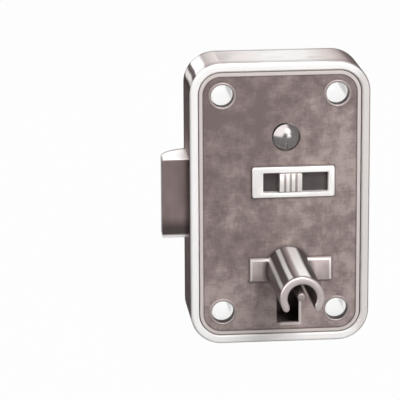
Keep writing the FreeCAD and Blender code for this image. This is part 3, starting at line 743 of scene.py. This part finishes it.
# %% Drill pin
PIN_TIP = 1.65 * MM
TIP_ROUND = 0.8 * MM
FOOT_RADIUS = (pin_high.x - pin_low.x) / 2
FOOT_FRONT = -8.0 * MM
CAVITY_BACK = -3.0 * MM
pin_finish = metal("worn_pin", tone(150, 138, 135), tone(172, 160, 157), 0.4, (0.3, 0.42), grain=1700)
pin_steps = [(0, pin_low.y)]
pin_steps += arc_steps(PIN_TIP - TIP_ROUND, pin_low.y + TIP_ROUND, TIP_ROUND, 90, 0, 5)
pin_steps += [(PIN_TIP, FOOT_FRONT), (FOOT_RADIUS, FOOT_FRONT), (FOOT_RADIUS, CAVITY_BACK),
              (FOOT_RADIUS / 2, CAVITY_BACK), (FOOT_RADIUS / 2, pin_high.y), (0, pin_high.y)]
drill_pin = turned("drill_pin_turned", TUBE_X, TUBE_Z, pin_steps, sides=64)
finish_faces(drill_pin, [pin_finish])
smooth(drill_pin)
place(drill_pin, "case", "post_steel", "drill_pin")

# %% [markdown]
# The slotted tube is drawn, so it is modelled as its section and pulled along its length. The section is
# the outline of a slotted ring: round the outside, round one lip of the slot, back round the bore and round
# the other lip. A filled circle with as many corners is bent to that outline and extruded. A slot cut out
# of a finished cylinder would have sharp lips.

# %% Section of the tube
BORE = 5.4 * MM
SLOT_HALF = 4.7 * MM
TUBE_LIP = 1.2 * MM
SPIGOT_LIP = 0.6 * MM
SPIGOT_RADIUS = 7.4 * MM


def arc_points(x, z, radius, start, stop, count):
    """Points along an arc, without its last one."""
    angles = [start + (stop - start) * i / count for i in range(count)]
    return [(x + radius * math.cos(angle), z + radius * math.sin(angle)) for angle in angles]


def slotted_section(outer, lip_round):
    """The outline of the slotted ring, round its axis."""
    lip_x = SLOT_HALF + lip_round
    lip_z = -math.sqrt((outer - lip_round) ** 2 - lip_x ** 2)
    lip_angle = math.atan2(lip_z, lip_x)
    bore_angle = math.acos(SLOT_HALF / BORE)
    points = arc_points(0, 0, outer, lip_angle, math.pi - lip_angle, 96)
    points += arc_points(-lip_x, lip_z, lip_round, math.pi - lip_angle, 2 * math.pi, 10)
    points += [(-SLOT_HALF, lip_z)]
    points += arc_points(0, 0, BORE, math.pi + bore_angle, -bore_angle, 72)
    points += [(SLOT_HALF, -BORE * math.sin(bore_angle))]
    points += arc_points(lip_x, lip_z, lip_round, math.pi, 2 * math.pi + lip_angle, 10)
    return points


def pulled(name, section, front, back):
    """A section pulled from its front to its back."""
    bpy.ops.mesh.primitive_circle_add(vertices=len(section), radius=BORE, fill_type="NGON",
                                      rotation=(math.pi / 2, 0, 0))
    piece = settle()
    piece.name = name
    for vertex, (x, z) in zip(piece.data.vertices, section):
        vertex.co = (TUBE_X + x, front, TUBE_Z + z)
    edit(piece)
    bpy.ops.mesh.select_all(action="SELECT")
    bpy.ops.mesh.extrude_region_move(TRANSFORM_OT_translate={"value": (0, back - front, 0)})
    bpy.ops.mesh.select_all(action="SELECT")
    bpy.ops.mesh.normals_make_consistent(inside=False)
    return settle()


barrel = pulled("key_tube_barrel", slotted_section(TUBE_RADIUS, TUBE_LIP), tube_low.y, FIELD_Y)
print("corners of the section:", len(slotted_section(TUBE_RADIUS, TUBE_LIP)))

# %% [markdown]
# The tube's open end is faced and rounded, so the edges of that end are picked by their place and bevelled.
# Behind the cover the tube steps in to a thinner spigot, which is a second section. The outside has the
# painted bands of light and shade, the end is a plain grey, and the bore is dark and worn.

# %% Slotted tube
END_ROUND = 0.8 * MM
tube_end_finish = metal("faced_steel", tone(182, 171, 169), tone(202, 192, 190), 0.4, (0.3, 0.42),
                        grain=1700)
bore_finish = metal("worn_bore", tone(92, 80, 78), tone(118, 105, 103), 0.05, (0.5, 0.6), specular=0.1)


def pick_edges(piece, test):
    """Selects the edges whose two ends pass a test."""
    bpy.ops.mesh.select_mode(type="EDGE")
    mesh = bmesh.from_edit_mesh(piece.data)
    for edge in mesh.edges:
        edge.select_set(test(edge.verts[0].co, edge.verts[1].co))
    bmesh.update_edit_mesh(piece.data)


def front_edges(piece):
    """Selects the edges round the front face of a piece."""
    front = min(v.co.y for v in bmesh.from_edit_mesh(piece.data).verts)
    pick_edges(piece, lambda a, b: a.y < front + 1e-6 and b.y < front + 1e-6)


def barrel_face(centre, normal):
    """0 is the drawn outside, 1 the faced end, 2 the worn bore and the lips of the slot."""
    if centre.y < tube_low.y + 0.6 * END_ROUND:
        return 1
    from_axis = math.hypot(centre.x - TUBE_X, centre.z - TUBE_Z)
    return 2 if from_axis < TUBE_RADIUS - 0.1 * MM else 0


edit(barrel)
front_edges(barrel)
bpy.ops.mesh.bevel(offset=END_ROUND, segments=4, affect="EDGES")
settle()
spigot = pulled("key_tube_spigot", slotted_section(SPIGOT_RADIUS, SPIGOT_LIP), FIELD_Y, tube_high.y)
for piece in (barrel, spigot):
    finish_faces(piece, [tube_finish, tube_end_finish, bore_finish], barrel_face)
    smooth(piece)
    place(piece, "case", "tube_steel", "key_tube")

# %% [markdown]
# The tube's two wings lie on the cover. They are grey and cloudy like the plate, with painted shade round
# the foot of the tube, and the bevel along their top and ends carries a painted highlight.

# %% Wing finish
WING_CONTACT_SHADE_WIDTH = 2.4 * MM
wing_finish, tree, shader = new_finish("grey_wing")
shader.inputs["Metallic"].default_value = 0.3
wing_cloud = noise(tree, 160, detail=4.0)
wing_tone = ramp(tree, wing_cloud, [(0.35, tone(162, 149, 146)), (0.65, tone(188, 175, 172))])
# painted shade round the foot of the tube
wing_tone = paint_contact_shade(tree, wing_tone, outside_tube(tree), WING_CONTACT_SHADE_WIDTH, 1.0)
tree.links.new(wing_tone, shader.inputs["Base Color"])
tree.links.new(span(tree, wing_cloud, 0.3, 0.7, 0.4, 0.5), shader.inputs["Roughness"])
# the bevel's finish is a painted highlight
edge_painted_highlight = metal("wing_edge_painted_highlight", tone(214, 205, 202), tone(232, 225, 222), 0.3, (0.3, 0.42), grain=1700)
print("wing finish nodes:", len(tree.nodes))

# %% [markdown]
# Both wings are one plate under the tube. A box is bevelled round its front, and the tube's bore and slot
# are cut through it with boolean modifiers, so that both stay open. Two plates would each need an inner
# edge fitted to the tube by hand.

# %% Wings of the tube
WING_THICKNESS = 1.5 * MM
WING_BEVEL = 1.0 * MM


def modifier(piece, kind, **settings):
    """Adds one modifier, sets it and applies it."""
    bpy.ops.object.select_all(action="DESELECT")
    piece.select_set(True)
    bpy.context.view_layer.objects.active = piece
    added = piece.modifiers.new(kind.lower(), kind)
    for name, value in settings.items():
        setattr(added, name, value)
    bpy.ops.object.modifier_apply(modifier=added.name)


def cube(name, low, high):
    """A box from corner to corner."""
    centre = [(a + b) / 2 for a, b in zip(low, high)]
    bpy.ops.mesh.primitive_cube_add(size=1, location=centre)
    bpy.context.object.scale = [b - a for a, b in zip(low, high)]
    piece = settle()
    piece.name = name
    return piece


def cut(piece, cutter):
    """Cuts one piece by another, which is then deleted."""
    modifier(piece, "BOOLEAN", operation="DIFFERENCE", object=cutter, solver="EXACT")
    bpy.data.objects.remove(cutter)


def wing_face(centre, normal):
    """0 is the grey face and 1 the bevel with a painted highlight."""
    tilted = 0.2 < -normal.y < 0.98
    return 1 if tilted and normal.z > -0.3 else 0


wings = cube("key_tube_wings", (tube_low.x, FIELD_Y - WING_THICKNESS, WING_Z - WING_HALF_HEIGHT),
             (tube_high.x, FIELD_Y, WING_Z + WING_HALF_HEIGHT))
edit(wings)
front_edges(wings)
bpy.ops.mesh.bevel(offset=WING_BEVEL, segments=2, affect="EDGES")
settle()
bpy.ops.mesh.primitive_cylinder_add(vertices=TURNED_SIDES, radius=BORE, depth=20 * MM,
                                    location=(TUBE_X, FIELD_Y, TUBE_Z), rotation=(math.pi / 2, 0, 0))
cut(wings, settle())
slot_cutter = cube("slot_cutter", (TUBE_X - SLOT_HALF, tube_low.y - MM, TUBE_Z - 3 * TUBE_RADIUS),
                   (TUBE_X + SLOT_HALF, tube_high.y + MM, TUBE_Z))
cut(wings, slot_cutter)
finish_faces(wings, [wing_finish, edge_painted_highlight], wing_face)
smooth(wings)
place(wings, "case", "tube_steel", "key_tube")

# %% [markdown]
# The window frame is a pressed rectangle with soft edges. A box is cut through by the window, and a bevel
# modifier rounds all of its edges at once. The frame stands on the cover, and its sleeve reaches back
# through it, cut by the same window.

# %% Window frame
FRAME_SIDES = {"left": 4.2 * MM, "right": 2.4 * MM, "top": 2.2 * MM, "bottom": 1.8 * MM}
window_left = frame_low.x + FRAME_SIDES["left"]
window_right = frame_high.x - FRAME_SIDES["right"]
window_bottom = frame_low.z + FRAME_SIDES["bottom"]
window_top = frame_high.z - FRAME_SIDES["top"]
SLEEVE = 0.9 * MM


def upright_edges(piece):
    """Selects the edges of a box that run from its front to its back."""
    pick_edges(piece, lambda a, b: abs(a.x - b.x) < 1e-6 and abs(a.z - b.z) < 1e-6)


def window_cutter():
    """A block as wide and high as the window, longer than the frame is deep."""
    return cube("window_cutter", (window_left, frame_low.y - MM, window_bottom),
                (window_right, frame_high.y + MM, window_top))


window = cube("window_frame_pressed", frame_low, (frame_high.x, FIELD_Y, frame_high.z))
edit(window)
upright_edges(window)
bpy.ops.mesh.bevel(offset=0.9 * MM, segments=4, affect="EDGES")
settle()
cut(window, window_cutter())
modifier(window, "BEVEL", width=0.3 * MM, segments=3, limit_method="ANGLE", angle_limit=math.radians(50))
finish_faces(window, [bright_finish])
smooth(window)
sleeve = cube("window_sleeve", (window_left - SLEEVE, FIELD_Y, window_bottom - SLEEVE),
              (window_right + SLEEVE, frame_high.y, window_top + SLEEVE))
cut(sleeve, window_cutter())
finish_faces(sleeve, [bright_finish])
for piece in (window, sleeve):
    place(piece, "case", "bright_steel", "window_frame")

# %% [markdown]
# The thumb piece stands in the window. Its face is cut into strips by bisecting it, and every second strip
# is pushed in to make the grip grooves. A bevel then softens every edge that a thumb would touch.

# %% Thumb piece
thumb_low, thumb_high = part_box("thumb_piece")
GRIP_COUNT = 3
GRIP_WIDTH = 0.9 * MM
GRIP_DEPTH = 0.6 * MM
thumb_finish = metal("worn_thumb", tone(222, 215, 212), tone(234, 228, 225), 0.35, (0.28, 0.36))
thumb = cube("thumb_piece_ribbed", thumb_low, thumb_high)
pitch = (thumb_high.x - thumb_low.x) / (GRIP_COUNT + 1)
grip_places = [thumb_low.x + pitch * (i + 1) for i in range(GRIP_COUNT)]
edit(thumb)
for grip_x in grip_places:
    for side in (-GRIP_WIDTH / 2, GRIP_WIDTH / 2):
        bpy.ops.mesh.select_all(action="SELECT")
        bpy.ops.mesh.bisect(plane_co=(grip_x + side, 0, 0), plane_no=(1, 0, 0))
bpy.ops.mesh.select_all(action="DESELECT")
bpy.ops.mesh.select_mode(type="FACE")
thumb_mesh = bmesh.from_edit_mesh(thumb.data)
for face in thumb_mesh.faces:
    middle_x = face.calc_center_median().x
    in_groove = any(abs(middle_x - grip_x) < GRIP_WIDTH / 4 for grip_x in grip_places)
    face.select_set(face.normal.y < -0.9 and in_groove)
bpy.ops.transform.translate(value=(0, GRIP_DEPTH, 0))
settle()
modifier(thumb, "BEVEL", width=0.18 * MM, segments=2, limit_method="ANGLE", angle_limit=math.radians(40))


def thumb_face(centre, normal):
    """0 is the worn face and 1 the floor of a grip groove, darkened as painted shade."""
    near_groove = any(abs(centre.x - grip_x) < GRIP_WIDTH / 2 for grip_x in grip_places)
    deep = thumb_low.y + GRIP_DEPTH / 2 < centre.y < thumb_low.y + 2 * GRIP_DEPTH
    return 1 if near_groove and deep and normal.y < -0.5 else 0


# the floors of the grip grooves take the darker lip finish as painted shade
finish_faces(thumb, [thumb_finish, lip_finish], thumb_face)
smooth(thumb)
place(thumb, "latch", "bright_steel", "thumb_piece")

# %% [markdown]
# The lock stands on its lower edge on a pale floor. The floor is white to the camera, so that the picture
# has a white ground, but a share of its own shading is kept for the soft shadow. Polished metal sees a part
# of that white too. A Light Path node tells these rays apart, where a brighter lamp would bleach the lock
# as well.

# %% Floor
WHITE_TO_CAMERA = 0.98
WHITE_TO_GLOSS = 0.5


def ray_kinds(tree):
    """Whether the camera looks straight at a surface, and whether metal or glass mirrors it."""
    ray = tree.nodes.new("ShaderNodeLightPath")
    mirrored = calc(tree, "MAXIMUM", ray.outputs["Is Glossy Ray"], ray.outputs["Is Transmission Ray"])
    return ray.outputs["Is Camera Ray"], mirrored


def mix_shaders(tree, share, first, second):
    """Mixes two shaders: a share of 0 is the first, 1 the second."""
    node = tree.nodes.new("ShaderNodeMixShader")
    for socket, source in zip(node.inputs, (share, first, second)):
        tree.links.new(source, socket)
    return node.outputs["Shader"]


bpy.ops.mesh.primitive_plane_add(size=6.0, location=(0, 1.0, cad_box[0].z))
floor = bpy.context.object
floor.name = "floor"
floor_material, tree, shader = new_finish("pale_floor")
shader.inputs["Base Color"].default_value = (0.25, 0.25, 0.25, 1)
shader.inputs["Roughness"].default_value = 0.9
white = tree.nodes.new("ShaderNodeEmission")
seen, mirrored = ray_kinds(tree)
white_share = calc(tree, "MULTIPLY", seen, WHITE_TO_CAMERA)
white_share = calc(tree, "MAXIMUM", white_share, calc(tree, "MULTIPLY", mirrored, WHITE_TO_GLOSS))
blend = mix_shaders(tree, white_share, shader.outputs["BSDF"], white.outputs["Emission"])
output = next(n for n in tree.nodes if n.type == "OUTPUT_MATERIAL")
tree.links.new(blend, output.inputs["Surface"])
floor.data.materials.append(floor_material)
print("height of the floor in mm:", round(cad_box[0].z / MM, 1))

# %% [markdown]
# The world is white to the camera and to the metal that mirrors what lies behind the lock. In front of the
# lock the studio is darker, apart from a soft bright panel at the upper left. A dark screen in front of the
# panel covers a part of it, so that the bright patch on the button's dome has a curved edge. The panel and
# the screen are seen in metal only, and each is a direction of the world, because real ones would be more
# objects to place.

# %% What the metal mirrors
world = bpy.data.worlds.new("studio")
bpy.context.scene.world = world
world.use_nodes = True
tree = world.node_tree
tree.nodes.clear()
direction = tree.nodes.new("ShaderNodeTexCoord").outputs["Generated"]
separate = tree.nodes.new("ShaderNodeSeparateXYZ")
tree.links.new(direction, separate.inputs["Vector"])
PANEL_DIRECTION = Vector((-0.78, -0.35, 0.52)).normalized()
PANEL_STRENGTH = 4.0
SCREEN_DIRECTION = Vector((0.47, -0.80, -0.37)).normalized()


def toward(centre):
    """How far a direction of the world points towards a centre: 1 straight at it, 0 square to it."""
    node = tree.nodes.new("ShaderNodeVectorMath")
    node.operation = "DOT_PRODUCT"
    tree.links.new(direction, node.inputs[0])
    node.inputs[1].default_value = centre
    return node.outputs["Value"]


behind = span(tree, separate.outputs["Y"], 0.05, 0.35)
panel = span(tree, toward(PANEL_DIRECTION), 0.30, 0.50, 0.0, PANEL_STRENGTH)
panel = calc(tree, "MULTIPLY", panel, span(tree, toward(SCREEN_DIRECTION), 0.60, 0.45))
front_room = calc(tree, "MAXIMUM", span(tree, separate.outputs["X"], -0.6, 0.8, 0.15, 0.6), panel)
mirrored_light = calc(tree, "MAXIMUM", front_room, behind)
print("strength of the panel:", PANEL_STRENGTH)

# %% [markdown]
# As light the world is only a weak grey, a little stronger from the right, so that the lamps shape the
# lock. Three Background nodes hold its three parts, and the kind of ray picks one of them.


# %% World
def background(strength):
    """A white part of the world; its strength is a socket or a number."""
    node = tree.nodes.new("ShaderNodeBackground")
    node.inputs["Color"].default_value = (1, 1, 1, 1)
    if isinstance(strength, bpy.types.NodeSocket):
        tree.links.new(strength, node.inputs["Strength"])
    else:
        node.inputs["Strength"].default_value = strength
    return node.outputs["Background"]


as_light = background(span(tree, separate.outputs["X"], -0.5, 0.5, 0.02, 0.16))
as_mirror = background(mirrored_light)
as_backdrop = background(1.0)
seen, mirrored = ray_kinds(tree)
metal_or_light = mix_shaders(tree, mirrored, as_light, as_mirror)
camera_or_rest = mix_shaders(tree, seen, metal_or_light, as_backdrop)
output = tree.nodes.new("ShaderNodeOutputWorld")
tree.links.new(camera_or_rest, output.inputs["Surface"])
print("world nodes:", len(tree.nodes))

# %% [markdown]
# Three soft lamps: the main one from high in front, a broad fill beside the camera, and a weaker one from
# above and behind for the top of the case and of the bolt. The power for a wanted brightness on a white
# card grows with the square of the distance, so the lamps are set by that brightness.


# %% Lamps
def lamp(name, toward_lamp, distance, width, height, brightness):
    """A rectangular lamp that gives this brightness to a white card that faces it at the lock."""
    data = bpy.data.lights.new(name, "AREA")
    data.shape = "RECTANGLE"
    data.size = width
    data.size_y = height
    data.energy = brightness * (math.pi * distance) ** 2
    made = bpy.data.objects.new(name, data)
    bpy.context.scene.collection.objects.link(made)
    made.location = Vector(toward_lamp).normalized() * distance
    made.rotation_euler = (-made.location).to_track_quat("-Z", "Y").to_euler()
    print(name, "power in watts:", round(data.energy, 1))


lamp("key_lamp", (0.24, -0.78, 0.58), distance=1.7, width=0.62, height=0.77, brightness=0.74)
lamp("fill_lamp", (0.35, -1.0, 0.0), distance=1.3, width=0.5, height=0.8, brightness=0.37)
lamp("top_lamp", (0.12, 0.30, 0.95), distance=0.9, width=0.3, height=0.4, brightness=0.44)

# %% [markdown]
# The camera is where the photograph was seen from: a metre in front, a little to the left and above, with a
# long lens, so that the front stays nearly square and the left and upper sides just show.

# %% Camera
CAMERA_PLACE = Vector((-0.1216, -1.0000, 0.2523))
CAMERA_TURN = math.radians(-5.34)
CAMERA_TILT = math.radians(-14.35)
CAMERA_ROLL = math.radians(0.33)
PHOTO_SIDE = 400
FOCAL_IN_PIXELS = 2647.8
camera_data = bpy.data.cameras.new("camera")
camera_data.sensor_width = 36.0
camera_data.lens = camera_data.sensor_width * FOCAL_IN_PIXELS / PHOTO_SIDE
camera_data.clip_end = 20.0
camera = bpy.data.objects.new("camera", camera_data)
bpy.context.scene.collection.objects.link(camera)
turn = Matrix.Rotation(CAMERA_TURN, 4, "Z")
tilt = Matrix.Rotation(CAMERA_TILT, 4, "X")
roll = Matrix.Rotation(CAMERA_ROLL, 4, "Y")
level = Matrix.Rotation(math.radians(90), 4, "X")
camera.matrix_world = Matrix.Translation(CAMERA_PLACE) @ turn @ tilt @ roll @ level
bpy.context.scene.camera = camera
print("lens in mm:", round(camera_data.lens, 1))

# %% [markdown]
# Standard shows the tones as they are written, where a film look would bend them.

# %% Picture settings
bpy.context.scene.view_settings.view_transform = "Standard"
bpy.context.view_layer.update()
